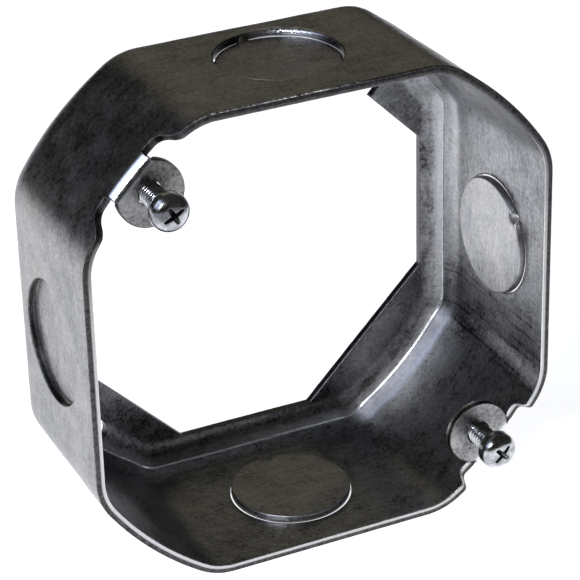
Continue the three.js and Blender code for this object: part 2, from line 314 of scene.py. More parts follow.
def inside(points, loops):
    """Even-odd test of points against closed loops."""
    hit = np.zeros(len(points), bool)
    px, py = points[:, 0][:, None], points[:, 1][:, None]
    for loop in loops:
        a = np.asarray(loop)
        b = np.roll(a, -1, 0)
        spans = (a[:, 1] > py) != (b[:, 1] > py)
        with np.errstate(divide="ignore", invalid="ignore"):
            cross = (b[:, 0] - a[:, 0]) * (py - a[:, 1]) / (b[:, 1] - a[:, 1]) + a[:, 0]
        hit ^= ((spans & (px < cross)).sum(1) % 2).astype(bool)
    return hit


def nearest(points, others, batch=200):
    """How far each point is from the nearest of the others."""
    distance = np.full(len(points), 1e9)
    for i in range(0, len(others), batch):
        apart = points[:, None] - others[None, i : i + batch]
        distance = np.minimum(distance, np.hypot(apart[..., 0], apart[..., 1]).min(1))
    return distance


def fill(loops, rows, grid, clearance):
    """Triangulates the plane region bounded by loops, through rows of points and, clearance away from both,
    a grid of points. The loops' points come first."""
    border = np.concatenate(loops)
    rows = rows[inside(rows, loops)]
    border = np.concatenate([border, rows[nearest(rows, border) > ROW_CLEARANCE]])
    grid = grid[inside(grid, loops)]
    points = np.concatenate([border, grid[nearest(grid, border) > clearance]])
    edges, start = [], 0
    for loop in loops:
        n = len(loop)
        edges += [(start + i, start + (i + 1) % n) for i in range(n)]
        start += n
    made = delaunay_2d_cdt([Vector(p) for p in points], edges, [], 0, 1e-6, True)
    _, _, faces, sources = made[:4]
    old = {i: given[-1] for i, given in enumerate(sources) if given}
    tris = np.array([[old[i] for i in f] for f in faces if len(f) == 3 and all(i in old for i in f)])
    centres = points[tris].mean(1)
    good = np.concatenate([inside(centres[i : i + 4000], loops) for i in range(0, len(centres), 4000)])
    tris = tris[good]
    a, b, c = points[tris[:, 0]], points[tris[:, 1]], points[tris[:, 2]]
    area = (b[:, 0] - a[:, 0]) * (c[:, 1] - a[:, 1]) - (b[:, 1] - a[:, 1]) * (c[:, 0] - a[:, 0])
    tris[area < 0] = tris[area < 0][:, ::-1]
    return points, tris


def hex_grid(x0, x1, y0, y1, step, step_y=None):
    step_y = step_y or step * 0.87
    rows = []
    for j, y in enumerate(np.arange(y0, y1, step_y)):
        xs = np.arange(x0 + (step / 2 if j % 2 else 0), x1, step)
        rows.append(np.stack([xs, np.full(len(xs), y)], 1))
    return np.concatenate(rows)


# ---------------------------------------------------------------- mesh building
MERGE_DISTANCE = 1e-7  # in metres, like the one below
LEAST_EDGE = 1e-8
CORNER_STEPS = 4


def wobble(co, scale, seed):
    """A slow, smooth unevenness for each point, about -1 to 1."""
    places = [Vector((x * scale + seed, y * scale, z * scale)) for x, y, z in co]
    return np.array([noise.fractal(place, 1.0, 2.0, 3) for place in places])


def add_object(name, data):
    o = bpy.data.objects.new(name, data)
    bpy.context.scene.collection.objects.link(o)
    return o


def bands(rows, n, closed=True):
    """Faces between rows of n points each."""
    faces = []
    for start in range(0, (rows - 1) * n, n):
        for i in range(n if closed else n - 1):
            k = (i + 1) % n
            faces.append((start + i, start + k, start + n + k, start + n + i))
    return faces


class Skin:
    """Collects vertices and faces, in mm about the ring's axis, and turns them into one closed mesh."""

    def __init__(self):
        self.co, self.faces, self.count = [], [], 0
        self.values = {"side": [], "burnish_highlight": [], "shear_highlight": []}

    def add(self, co, faces, side=0.0, burnish_highlight=0.0, shear_highlight=0.0):
        """side is 0 on the sheet's outer face, 1 on its inner face and between them on its cut edges.
        burnish_highlight is how burnished the surface is and how far it is brightened as a painted highlight,
        and shear_highlight how bright a cut edge is, partly sheared metal and partly a painted highlight."""
        self.co.append(np.asarray(co, float))
        for name, value in (("side", side), ("burnish_highlight", burnish_highlight), ("shear_highlight", shear_highlight)):
            self.values[name].append(np.broadcast_to(np.asarray(value, float), (len(co),)))
        self.faces += [tuple(int(i) + self.count for i in f) for f in faces]
        self.count += len(co)

    def sheet(self, surface, points, tris, burnish_highlight=0.0):
        """Both faces of the sheet over a triangulated plane region."""
        co, normal = surface(points)
        inner_burnish_highlight = np.maximum(burnish_highlight, crease_burnish_and_sheen(normal))
        self.add(co, tris, 0.0, burnish_highlight)
        self.add(co - normal * sheet_thickness(normal), tris[:, ::-1], 1.0, inner_burnish_highlight)

    def edge(self, surface, true, cut_back, closed, radius, shear_highlight=0.0, burnish_highlight=0.0):
        """The cut edge of the sheet along a loop, with both its corners rounded by radius. The loop true is
        where the cut runs, and cut_back the same loop moved into the sheet by the radius."""
        r = np.broadcast_to(np.asarray(radius, float).reshape(-1, 1), (len(true), 1))
        turns = [math.pi / 2 * i / CORNER_STEPS for i in range(CORNER_STEPS + 1)]
        corner = [(1 - math.sin(turn), 1 - math.cos(turn)) for turn in turns]
        profile = [(back, lift, 0) for back, lift in corner]
        profile.append((0.0, 0.0, 0.5))
        profile += [(back, -lift, 1) for back, lift in corner[::-1]]
        rows = []
        for back, lift, side in profile:
            co, normal = surface(true + (cut_back - true) * back)
            rows.append(co - normal * (sheet_thickness(normal) * side + lift * r))
        n = len(true)
        across = np.repeat([j / (len(rows) - 1) for j in range(len(rows))], n)
        shear_highlight, burnish_highlight = (np.tile(np.broadcast_to(v, (n,)), len(rows)) for v in (shear_highlight, burnish_highlight))
        self.add(np.concatenate(rows), bands(len(rows), n, closed), across, burnish_highlight, shear_highlight)

    def build(self, name, finish=None):
        co = np.concatenate(self.co)
        if finish is not None:
            co = finish(co)
        mesh = bpy.data.meshes.new(name)
        mesh.from_pydata((co + AXIS) * 0.001, [], self.faces)
        for attribute, values in self.values.items():
            mesh.attributes.new(attribute, "FLOAT", "POINT").data.foreach_set("value", np.concatenate(values))
        bm = bmesh.new()
        bm.from_mesh(mesh)
        bmesh.ops.remove_doubles(bm, verts=bm.verts, dist=MERGE_DISTANCE)
        bmesh.ops.dissolve_degenerate(bm, dist=LEAST_EDGE, edges=bm.edges)
        bmesh.ops.recalc_face_normals(bm, faces=bm.faces)
        for f in bm.faces:
            f.smooth = True
        bm.to_mesh(mesh)
        bm.free()
        return add_object(name, mesh)


# ---------------------------------------------------------------- ring shell
EDGE_RADIUS = 0.22
HOLE_EDGE_RADIUS = 0.3
EAR_HOLE_EDGE_RADIUS = 0.12
OPENING_EDGE_RADIUS = 0.2
BACK_SCREW_EDGE_RADIUS = 0.09  # the slot's end and the screw hole come close to the seam
# how bright each knockout hole's cut edge is, sheared metal and painted highlight: brightest at the bottom,
# none at the top
HOLE_SHEAR_HIGHLIGHTS = {"top": 0.0, "left": 0.35, "bottom": 0.8, "right": 0.12}
EAR_HOLE_SHEAR_HIGHLIGHT = 0.5
OPENING_SHEAR_HIGHLIGHT = 0.06
RIM_SHEAR_HIGHLIGHTS = ((56.0, 74.0), (1.0, 0.12))  # heights on the front rim, and how bright its cut edge is there: sheared metal and painted highlight, bright low down and dull at the top
# the punch has rolled over a stretch of the top hole's rim: its middle and width in degrees, its size, and
# how burnished it is, brightened as a painted highlight
ROLLED_TURN, ROLLED_WIDTH, ROLLED_RADIUS, ROLLED_BURNISH_HIGHLIGHT = 122.0, 34.0, 0.42, 0.9
WALL_WAVE, FLANGE_WAVE = 0.09, 0.06  # how high drawing has left the sheet's waves


def front_loop():
    """The front edge of the unrolled strip, from s = 0 to the perimeter, sheet on the left."""
    points, at = [], 0.0
    shoulder = math.sqrt(EAR_RADIUS**2 - EAR_NECK_HALF_WIDTH**2)
    neck = math.atan2(shoulder, -EAR_NECK_HALF_WIDTH)
    tip = math.pi * 3 / 2 - math.asin(EAR_TIP_HALF_WIDTH / EAR_RADIUS)
    for quarter, drift, depth, floor, mouth in EARS.values():
        c = quarter * QUARTER + drift
        left, right = c - EAR_NECK_HALF_WIDTH, c + EAR_NECK_HALF_WIDTH
        foot = depth - NOTCH_FILLET
        points += line((at, 0.0), (c - mouth, 0.0), 1.0)
        points += ramp((c - mouth, 0), (c - floor, depth))
        points += line((c - floor, depth), (left - NOTCH_FILLET, depth), 0.5)
        points += arc(left - NOTCH_FILLET, foot, NOTCH_FILLET, math.pi / 2, 0, 0.2)
        points += line((left, foot - 0.1), (left, EAR_CENTRE + shoulder), 0.3)
        points += arc(c, EAR_CENTRE, EAR_RADIUS, neck, tip, 0.35)
        points += arc(c, EAR_CENTRE, EAR_RADIUS, math.pi * 3 - tip, math.pi * 3 - neck, 0.35)
        points += line((right, EAR_CENTRE + shoulder), (right, foot - 0.1), 0.3)[1:]
        points += arc(right + NOTCH_FILLET, foot, NOTCH_FILLET, math.pi, math.pi / 2, 0.2)
        points += line((right + NOTCH_FILLET + 0.1, depth), (c + floor, depth), 0.5)
        points += ramp((c + floor, depth), (c + mouth, 0))
        at = c + mouth
    points += line((at, 0.0), (PERIMETER, 0.0), 1.0) + [(PERIMETER, 0.0)]
    return np.array(points)


def at_slot(reach, across):
    """The x and z of a place by its reach along the slot and its distance across it."""
    return (reach + across) * SQRT_HALF, (reach - across) * SQRT_HALF


def opening_loop():
    """The opening and its open slot, seen with x right and z up, run clockwise."""
    half = OPENING_CORNER_REACH * math.sqrt(2) - OPENING_REACH
    corners = []
    for turn in (0, math.pi / 2, math.pi, math.pi * 3 / 2):
        c, s = math.cos(turn), math.sin(turn)
        corners += [(OPENING_REACH * c - side * s, OPENING_REACH * s + side * c) for side in (-half, half)]
    corners = corners[::-1]
    points = []
    for i, a in enumerate(corners):
        b = corners[(i + 1) % len(corners)]
        if min(*a, *b) > 0:  # the side that the slot cuts
            slot_in = at_slot(OPENING_CORNER_REACH, -SLOT_HALF_WIDTH)
            slot_out = at_slot(OPENING_CORNER_REACH, SLOT_HALF_WIDTH)
            points += line(a, slot_in, 1.0)
            points += line(slot_in, at_slot(BACK_SCREW_REACH, -SLOT_HALF_WIDTH), 0.8)
            round_end = arc(BACK_SCREW_REACH, 0.0, SLOT_HALF_WIDTH, -math.pi / 2, math.pi / 2, 0.95)
            points += [at_slot(*p) for p in round_end]
            points += line(at_slot(BACK_SCREW_REACH, SLOT_HALF_WIDTH), slot_out, 0.8)[1:]
            a = slot_out
        points += line(a, b, 1.0)
    return np.array(points)


def edge_noise(p, seed, amount):
    """A factor that varies along a cut edge by up to the amount."""
    return np.array([1 + amount * noise.noise(Vector((x * 0.55 + seed, y * 0.55, seed))) for x, y in p])


def shell_finish(co):
    """The corner draft, then slight waves in the walls and the flange, but none round the knockouts."""
    co = lean_corners(co)
    radial = co.copy()
    radial[:, 1] = 0
    radial /= np.maximum(np.linalg.norm(radial, axis=1)[:, None], 1e-6)
    share = smooth((co[:, 1] - 1.0) / 5) * (1 - smooth((co[:, 1] - 33.0) / 3))
    away = np.ones(len(co))
    for c in ((1, 0), (-1, 0), (0, 1), (0, -1)):
        d = np.hypot(co[:, 1] - KNOCKOUT_DEPTH, co[:, 0] * c[1] + co[:, 2] * c[0])
        outer = (co[:, 0] * c[0] + co[:, 2] * c[1]) > 40
        away = np.where(outer, np.minimum(away, smooth((d - KNOCKOUT_RADIUS - 1) / 3)), away)
    co = co + radial * (wobble(co, 0.09, 3.0) * WALL_WAVE * share * away)[:, None]
    back = smooth((co[:, 1] - 34.0) / 2.0)
    co[:, 1] -= np.abs(wobble(co, 0.15, 9.0)) * FLANGE_WAVE * back
    return co


def wall_holes():
    """The holes of the strip: loop, edge radius, cut edge brightness and burnish of each, both partly painted
    highlight.
    """
    holes = []
    for wall, quarters in WALL_CENTRES.items():
        hole = circle(quarters * QUARTER, KNOCKOUT_DEPTH, KNOCKOUT_RADIUS, 0.7)
        radius, burnish_highlight = np.full(len(hole), HOLE_EDGE_RADIUS), np.zeros(len(hole))
        if wall == "top":
            turn = np.degrees(np.arctan2(hole[:, 1] - KNOCKOUT_DEPTH, hole[:, 0] - quarters * QUARTER))
            rolled = np.exp(-(((turn - ROLLED_TURN) / ROLLED_WIDTH) ** 4))
            radius, burnish_highlight = radius + ROLLED_RADIUS * rolled, ROLLED_BURNISH_HIGHLIGHT * rolled
        holes.append((hole, radius, HOLE_SHEAR_HIGHLIGHTS[wall], burnish_highlight))
    for quarter, drift, *_ in EARS.values():
        hole = circle(quarter * QUARTER + drift, EAR_CENTRE, EAR_HOLE_RADIUS, 0.35)
        holes.append((hole, EAR_HOLE_EDGE_RADIUS, EAR_HOLE_SHEAR_HIGHLIGHT, 0.0))
    return holes


def strip_rows(seam_s, row_t):
    """Rows of points along the back bend and across the bend at each ear's root."""
    rows = [np.stack([seam_s[1:-1], np.full(SEAM_POINTS - 2, t)], 1) for t in row_t]
    across = np.linspace(-EAR_NECK_HALF_WIDTH + 0.35, EAR_NECK_HALF_WIDTH - 0.35, 22)
    for quarter, drift, *_ in EARS.values():
        for t in EAR_BEND_TOP - np.linspace(-0.2, EAR_BEND_LENGTH + 0.2, 15):
            rows.append(np.stack([quarter * QUARTER + drift + across, np.full(len(across), t)], 1))
    return np.concatenate(rows)


def add_walls(skin, seam_s):
    """The walls, ears and most of the back bend, over the unrolled strip."""
    front = front_loop()
    front_r = EDGE_RADIUS * edge_noise(front, 1.0, 0.35)
    front_in = inset(front, front_r, False)
    front_in[0], front_in[-1] = (0.0, front_r[0]), (PERIMETER, front_r[0])
    front_r[-1] = front_r[0]
    row_t = [BEND_START + BEND_RADIUS * math.radians(turn) for turn in WALL_ROWS]
    side_t = np.concatenate([np.linspace(front_r[0], row_t[0], 34)[1:-1], row_t])
    border = np.concatenate([
        front_in,
        np.stack([np.full(len(side_t), PERIMETER), side_t], 1),
        np.stack([seam_s[::-1], np.full(SEAM_POINTS, SEAM)], 1),
        np.stack([np.zeros(len(side_t)), side_t[::-1]], 1),
    ])
    holes = wall_holes()
    cut = [inset(hole, radius, True) for hole, radius, *_ in holes]
    grid = [hex_grid(0.5, PERIMETER, 0.4, SEAM, STRIP_STEP)]
    for quarter, drift, *_ in EARS.values():
        left, right = (quarter * QUARTER + drift + side * EAR_GRID_REACH for side in (-1, 1))
        grid.append(hex_grid(left, right, EAR_CENTRE - EAR_GRID_REACH, EAR_BEND_TOP, EAR_STEP, EAR_ROW_STEP))
    rows = strip_rows(seam_s, row_t)
    points, tris = fill([border, *cut], rows, np.concatenate(grid), STRIP_CLEARANCE)
    skin.sheet(strip_surface, points, tris, ear_bend_burnish_highlight(points))
    rim_height = strip_surface(front)[0][:, 2] + AXIS[2]
    skin.edge(strip_surface, front, front_in, False, front_r, np.interp(rim_height, *RIM_SHEAR_HIGHLIGHTS))
    for (hole, radius, shear_highlight, burnish_highlight), hole_in in zip(holes, cut):
        skin.edge(strip_surface, hole, hole_in, True, radius, shear_highlight, burnish_highlight)


def add_flange(skin, seam_s):
    """The rest of the back bend and the flange, with its opening, slot and screw hole, over the plan."""
    opening = opening_loop()
    slot_end = (opening[:, 0] + opening[:, 1]) * SQRT_HALF - BACK_SCREW_REACH > -0.5
    opening_r = OPENING_EDGE_RADIUS * edge_noise(opening, 5.0, 0.3)
    opening_r = np.where(slot_end, BACK_SCREW_EDGE_RADIUS, opening_r)
    opening_in = inset(opening, opening_r, True)
    hole = circle(*at_slot(-BACK_SCREW_REACH, 0.0), SLOT_HALF_WIDTH, 0.4)
    hole_in = inset(hole, BACK_SCREW_EDGE_RADIUS, True)
    seam, _ = strip_surface(np.stack([seam_s[:-1], np.full(SEAM_POINTS - 1, SEAM)], 1))
    x, z, nx, nz = outline(seam_s[:-1])
    rows = []
    for turn in FLANGE_ROWS:
        inward = BEND_RADIUS * (1 - math.cos(math.radians(turn)))
        rows.append(np.stack([x - inward * nx, z - inward * nz], 1))
    grid = hex_grid(-PLAN_REACH, PLAN_REACH, -PLAN_REACH, PLAN_REACH, PLAN_STEP)
    points, tris = fill([seam[:, [0, 2]], opening_in, hole_in], np.concatenate(rows), grid, PLAN_CLEARANCE)
    skin.sheet(back_surface, points, tris)
    skin.edge(back_surface, opening, opening_in, True, opening_r, OPENING_SHEAR_HIGHLIGHT)
    skin.edge(back_surface, hole, hole_in, True, BACK_SCREW_EDGE_RADIUS, OPENING_SHEAR_HIGHLIGHT)


def build_shell():
    skin = Skin()
    seam_s = np.linspace(0, PERIMETER, SEAM_POINTS)
    add_walls(skin, seam_s)
    add_flange(skin, seam_s)
    return skin.build("ring_skin", shell_finish)


# ---------------------------------------------------------------- knockout slugs
def wall_frame(wall):
    """Matrix from a slug's own frame (x outward, y back, z along the wall) to the ring's."""
    turn = {"right": 0, "top": math.pi / 2, "left": math.pi, "bottom": -math.pi / 2}[wall]
    c, s = math.cos(turn), math.sin(turn)
    return np.array([[c, 0, -s], [0, 1, 0], [s, 0, c]])


SLUG_POINTS = 120
SLUG_CORNER = 0.3
SLUG_CROWN = 0.12  # how far the punch has pushed the slug's middle in
SLUG_WAVE = 0.08


def build_slug(wall, tie, seed):
    """A slug pushed in from its wall, held by a small tie at the tie's angle round from the back."""
    radius = KNOCKOUT_RADIUS - SLUG_GAP
    flat = [(x, 0.0) for x in [0.0, *np.linspace(1.2, radius - SLUG_CORNER - 0.25, 12)]]
    turns = [math.pi / 8 * i for i in range(5)]
    corner = [(radius - SLUG_CORNER * (1 - math.sin(a)), SLUG_CORNER * (1 - math.cos(a))) for a in turns]
    profile = flat + corner + [(radius, SHEET / 2)]
    profile += [(x, SHEET - depth) for x, depth in (flat + corner)[::-1]]
    n = SLUG_POINTS
    reach = np.repeat([x for x, _ in profile], n)
    depth = np.repeat([d for _, d in profile], n)
    a = np.tile(np.arange(n) * 2 * math.pi / n, len(profile))
    off = (a - math.radians(tie) + math.pi) % (2 * math.pi) - math.pi
    bridge = np.exp(-((off * radius / 0.75) ** 4))
    near_rim = smooth((reach - radius + 1.5) / 1.4)
    tie_height = (KNOCKOUT_STEP - 0.1) * bridge * near_rim * smooth((reach - radius + 1.0) / 0.8)
    x = WALL_REACH - KNOCKOUT_STEP - depth + tie_height
    reach = reach + (SLUG_GAP + 0.02) * bridge * near_rim * (reach > radius - 0.4)
    rim = smooth((reach - radius + 0.3) / 0.25) * np.clip(depth / SHEET, 0, 1)
    co = np.stack([x, KNOCKOUT_DEPTH + reach * np.cos(a), reach * np.sin(a)], 1)
    centre = smooth(1 - np.hypot(co[:, 1] - KNOCKOUT_DEPTH, co[:, 2]) / radius)
    co[:, 0] -= centre * SLUG_CROWN
    co[:, 0] += wobble(co, 0.16, seed) * SLUG_WAVE * smooth(centre * 6)
    skin = Skin()
    # the slug's rim is burnished and brightened as a painted highlight
    skin.add(co @ wall_frame(wall).T, bands(len(profile), n), 0.0, 0.35 * rim)
    return skin.build(f"{wall}_slug_skin")


# ---------------------------------------------------------------- screws
THREAD_PITCH, THREAD_CREST, THREAD_ROOT = 0.794, 2.07, 1.58
THREAD_STEPS = 9  # rows of points to a pitch
THREAD_RUN_OUT = 1.2
TIP_CHAMFER = 0.5
TIP_SHARE = 0.5625  # the flat tip's inner ring of points, as a share of its radius
SCREW_POINTS = 40
DOME_START = 1.3
DOME_STEPS = 14
HEAD_TILTS = {"upper_left": math.radians(28), "lower_right": math.radians(47)}
RECESSES = (("slot", 5.6, 1.0, 1.7), ("cross", 4.4, 1.1, 2.2))  # length, width and depth of each
HEAD_BEVEL = 0.07


def screw_circle(radius, y):
    turns = [2 * math.pi * i / SCREW_POINTS for i in range(SCREW_POINTS)]
    return [(radius * math.cos(turn), y, radius * math.sin(turn)) for turn in turns]


def head_rows():
    """Rows of points from the top of the head down to its underside."""
    underside = [(1.2, 0.0), (2.0, 0.0), (HEAD_RADIUS - 0.35, 0.0), (HEAD_RADIUS - 0.1, -0.1)]
    profile = [*underside, (HEAD_RADIUS, -0.35), (HEAD_RADIUS, -0.9)]
    for i in range(DOME_STEPS):
        turn = math.pi / 2 * i / DOME_STEPS
        height = DOME_START + (HEAD_HEIGHT - DOME_START) * math.sin(turn)
        profile.append((HEAD_RADIUS * math.cos(turn) ** 0.7, -height))
    profile.append((0.0, -HEAD_HEIGHT))
    return [screw_circle(radius, y) for radius, y in profile[::-1]]


def thread_radius(y, share):
    """The thread's radius y mm down the shank, a share of a turn round it."""
    phase = (y / THREAD_PITCH - share) % 1.0
    tooth = 1 - abs(2 * phase - 1)
    height = min(1.0, max(0.0, (tooth - 0.12) / 0.7))
    run_in = min(1.0, max(0.0, (y - 0.3) / 0.8) + 0.15)
    run_out = min(1.0, (SHANK_LENGTH - y) / THREAD_RUN_OUT)
    radius = THREAD_ROOT + (THREAD_CREST - THREAD_ROOT) * height * run_in * run_out
    return radius - max(0.0, y - SHANK_LENGTH + TIP_CHAMFER) * 0.6


def thread_rows():
    """Rows of points from the head's underside down to the shank's closed tip."""
    total = int(SHANK_LENGTH / THREAD_PITCH * THREAD_STEPS)
    rows = []
    for y in (SHANK_LENGTH * j / total for j in range(total + 1)):
        radii = [thread_radius(y, i / SCREW_POINTS) for i in range(SCREW_POINTS)]
        rows.append([(r * x, y, r * z) for r, (x, _, z) in zip(radii, screw_circle(1.0, y))])
    rows.append([(TIP_SHARE * x, y, TIP_SHARE * z) for x, y, z in rows[-1]])
    return [*rows, screw_circle(0.0, SHANK_LENGTH)]


def recess_cutter(name, length, width, depth, recess):
    """A tapered bar that is narrower at its ends, standing in the head from the top down."""
    bm = bmesh.new()
    bmesh.ops.create_cube(bm, size=1.0)
    lengthwise = [e for e in bm.edges if abs(e.verts[0].co.x - e.verts[1].co.x) > 0.5]
    bmesh.ops.subdivide_edges(bm, edges=lengthwise, cuts=1)
    for v in bm.verts:
        deep = v.co.y > 0
        end = abs(v.co.x) > 0.1
        v.co.x *= length * (0.35 if deep else 1.0)
        v.co.z *= width * (0.6 if end else 1.1) * (0.7 if deep else 1.0)
        v.co.y = -HEAD_HEIGHT + depth if deep else -HEAD_HEIGHT - 1.0
        v.co *= 0.001
    if name == "cross":
        quarter_turn = Matrix.Rotation(math.pi / 2, 3, "Y")
        bmesh.ops.rotate(bm, verts=bm.verts, cent=(0, 0, 0), matrix=quarter_turn)
    bmesh.ops.recalc_face_normals(bm, faces=bm.faces)
    mesh = bpy.data.meshes.new(name)
    bm.to_mesh(mesh)
    bm.free()
    mesh.materials.append(recess)
    return add_object(name, mesh)


def build_screw(corner, plate, recess):
    quarter, drift, *_ = EARS[corner]
    a = math.pi / 4 + quarter * math.pi / 2
    ux, uz = math.cos(a), math.sin(a)
    centre = np.array([SCREW_REACH * ux - drift * uz, -HEAD_LIFTS[corner], SCREW_REACH * uz + drift * ux])
    rows = head_rows() + thread_rows()
    skin = Skin()
    skin.add(np.array(rows).reshape(-1, 3) + centre, bands(len(rows), SCREW_POINTS))
    o = skin.build(f"{corner}_screw_skin")
    o.data.materials.append(plate)

    turned = Matrix.Rotation(-HEAD_TILTS[corner], 4, "Y")
    placed = Matrix.Translation(Vector((AXIS + centre) * 0.001)) @ turned
    cutters = []
    for name, *size in RECESSES:
        cutter = recess_cutter(name, *size, recess)
        cutter.matrix_world = placed
        cutters.append(cutter)
        cut = o.modifiers.new(name, "BOOLEAN")
        cut.operation, cut.solver, cut.object, cut.material_mode = "DIFFERENCE", "EXACT", cutter, "TRANSFER"
    edge = o.modifiers.new("edge", "BEVEL")
    edge.width, edge.segments = HEAD_BEVEL * 0.001, 2
    edge.limit_method, edge.angle_limit = "ANGLE", math.radians(50)
    apply_modifiers(o)
    for cutter in cutters:
        bpy.data.objects.remove(cutter)
    shade_by_angle(o, 40)
    return o


def apply_modifiers(o):
    bpy.context.view_layer.update()
    made = bpy.data.meshes.new_from_object(o.evaluated_get(bpy.context.evaluated_depsgraph_get()))
    o.modifiers.clear()
    o.data = made


def shade_by_angle(o, degrees):
    bm = bmesh.new()
    bm.from_mesh(o.data)
    for f in bm.faces:
        f.smooth = True
    for e in bm.edges:
        e.smooth = not (len(e.link_faces) == 2 and e.calc_face_angle(0) > math.radians(degrees))
    bm.to_mesh(o.data)
    bm.free()


# ---------------------------------------------------------------- materials
class Nodes:
    """A short way to write a material's node tree: arguments may be numbers or other nodes' outputs."""

    def __init__(self, name):
        self.material = bpy.data.materials.new(name)
        self.material.use_nodes = True
        self.tree = self.material.node_tree
        self.shader = self.tree.nodes["Principled BSDF"]
        coord = self.tree.nodes.new("ShaderNodeTexCoord")
        self.mm = self.vector("SCALE", coord.outputs["Object"], scale=1000.0)

    def put(self, socket, value):
        if isinstance(value, bpy.types.NodeSocket):
            self.tree.links.new(value, socket)
        elif value is not None:
            socket.default_value = value

    def set(self, **inputs):
        """Puts values or nodes on the shader's own sockets."""
        for k, v in inputs.items():
            self.put(self.shader.inputs[k.replace("_", " ")], v)

    def node(self, kind, out, props=None, **inputs):
        n = self.tree.nodes.new(kind)
        for k, v in (props or {}).items():
            setattr(n, k, v)
        for k, v in inputs.items():
            self.put(n.inputs[k.replace("_", " ")], v)
        return n.outputs[out]

    def vector(self, operation, a, b=None, scale=None):
        n = self.tree.nodes.new("ShaderNodeVectorMath")
        n.operation = operation
        self.put(n.inputs[0], a)
        if b is not None:
            self.put(n.inputs[1], b)
        if scale is not None:
            self.put(n.inputs["Scale"], scale)
        return n.outputs[0]

    def math(self, operation, first, *others):
        """The operation on the first two values, then on its result and each further one."""
        for other in others:
            n = self.tree.nodes.new("ShaderNodeMath")
            n.operation = operation
            self.put(n.inputs[0], first)
            self.put(n.inputs[1], other)
            first = n.outputs[0]
        return first

    def times(self, *factors):
        return self.math("MULTIPLY", *factors)

    def plus(self, *terms):
        return self.math("ADD", *terms)

    def noise(self, at, scale, detail=3.0, rough=0.55, distortion=0.0):
        sizes = {"Scale": scale, "Detail": detail, "Roughness": rough, "Distortion": distortion}
        return self.node("ShaderNodeTexNoise", "Fac", Vector=at, **sizes)

    def tints(self, at, scale, detail=2.0):
        """Noise of three separate channels, as a vector."""
        return self.node("ShaderNodeTexNoise", "Color", Vector=at, Scale=scale, Detail=detail)

    def attribute(self, name):
        return self.node("ShaderNodeAttribute", "Fac", {"attribute_name": name})

    def distance(self, place):
        out = self.node("ShaderNodeVectorMath", "Value", {"operation": "DISTANCE"}, Vector=self.mm)
        self.put(out.node.inputs[1], place)
        return out

    def range(self, value, lo, hi, to_lo=0.0, to_hi=1.0, soft=False):
        n = self.tree.nodes.new("ShaderNodeMapRange")
        if soft:
            n.interpolation_type = "SMOOTHSTEP"
        for socket, v in zip(n.inputs, (value, lo, hi, to_lo, to_hi)):
            self.put(socket, v)
        return n.outputs[0]

    def mix(self, share, a, b):
        n = self.tree.nodes.new("ShaderNodeMix")
        n.data_type = "RGBA"
        self.put(n.inputs["Factor"], share)
        for socket, v in ((n.inputs[6], a), (n.inputs[7], b)):
            self.put(socket, (*v, 1.0) if isinstance(v, tuple) and len(v) == 3 else v)
        return n.outputs[2]

    def blend(self, share, a, b):
        """Between two plain values."""
        return self.node("ShaderNodeMix", 0, Factor=share, A=a, B=b)

    def grey(self, value):
        return self.node("ShaderNodeCombineColor", "Color", Red=value, Green=value, Blue=value)

    def tinted(self, value, colour):
        """A grey of the value times a colour."""
        n = self.tree.nodes.new("ShaderNodeMix")
        n.data_type, n.blend_type = "RGBA", "MULTIPLY"
        n.inputs["Factor"].default_value = 1.0
        self.put(n.inputs[6], colour)
        self.put(n.inputs[7], self.grey(value))
        return n.outputs[2]

    def bump(self, height, distance, strength=1.0, normal=None):
        n = self.tree.nodes.new("ShaderNodeBump")
        self.put(n.inputs["Height"], height)
        n.inputs["Distance"].default_value = distance
        self.put(n.inputs["Strength"], strength)
        if normal is not None:
            self.put(n.inputs["Normal"], normal)
        return n.outputs[0]


BURR_GLINT_PLACE = (-8.0, AXIS[1], AXIS[2] + WALL_REACH)  # where the rim's lip is torn, its burrs lit with painted glints
SCREW_SHADOW_PLACE = (-31.0, AXIS[1] + 2.0, AXIS[2] + 34.1)  # a painted shadow beside the upper left ear's screw
FLANGE_DEPTHS = (AXIS[1] + 34.8, AXIS[1] + 36.0)  # the wall's inner tone turns into the flange's here
NOISE = (0.3, 0.7)  # the range that a noise texture mostly keeps to


